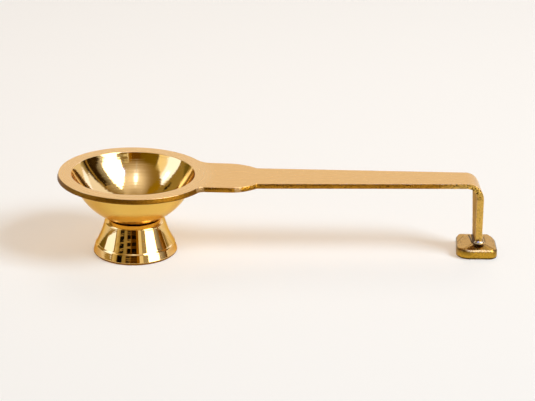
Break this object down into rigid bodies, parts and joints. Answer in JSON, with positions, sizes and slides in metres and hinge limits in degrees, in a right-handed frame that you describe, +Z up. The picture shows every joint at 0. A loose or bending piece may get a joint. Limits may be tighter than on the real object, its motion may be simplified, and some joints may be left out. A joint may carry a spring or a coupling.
{
  "type": "aarti lamp",
  "caption": "Hand-held brass oil lamp: a round bowl with a flat rim on a hollow turned pedestal, and a long flat handle bent down to a small rear foot.",
  "frame": {"origin": "on the floor, midway between the rim's free end and the outer side of the rear foot, in the lamp's middle plane", "axes": "+X along the handle from the bowl to the rear foot, +Z up out of the bowl"},
  "size_m": [0.202, 0.07, 0.0391],
  "materials": {
    "satin_brass": "linished on the flat top, polished in the bowl",
    "polished_brass": "turned and mirror polished",
    "plain_brass": "as turned",
    "filed_brass": "hand filed and worn",
    "silver_braze": "as run, bright"
  },
  "bodies": {
    "root": {"bowl_and_handle": "satin_brass", "pedestal": "polished_brass", "pedestal_washer": "plain_brass", "pedestal_nut": "plain_brass", "rear_foot_pad": "filed_brass", "foot_braze": "silver_braze"}
  },
  "joints": []
}
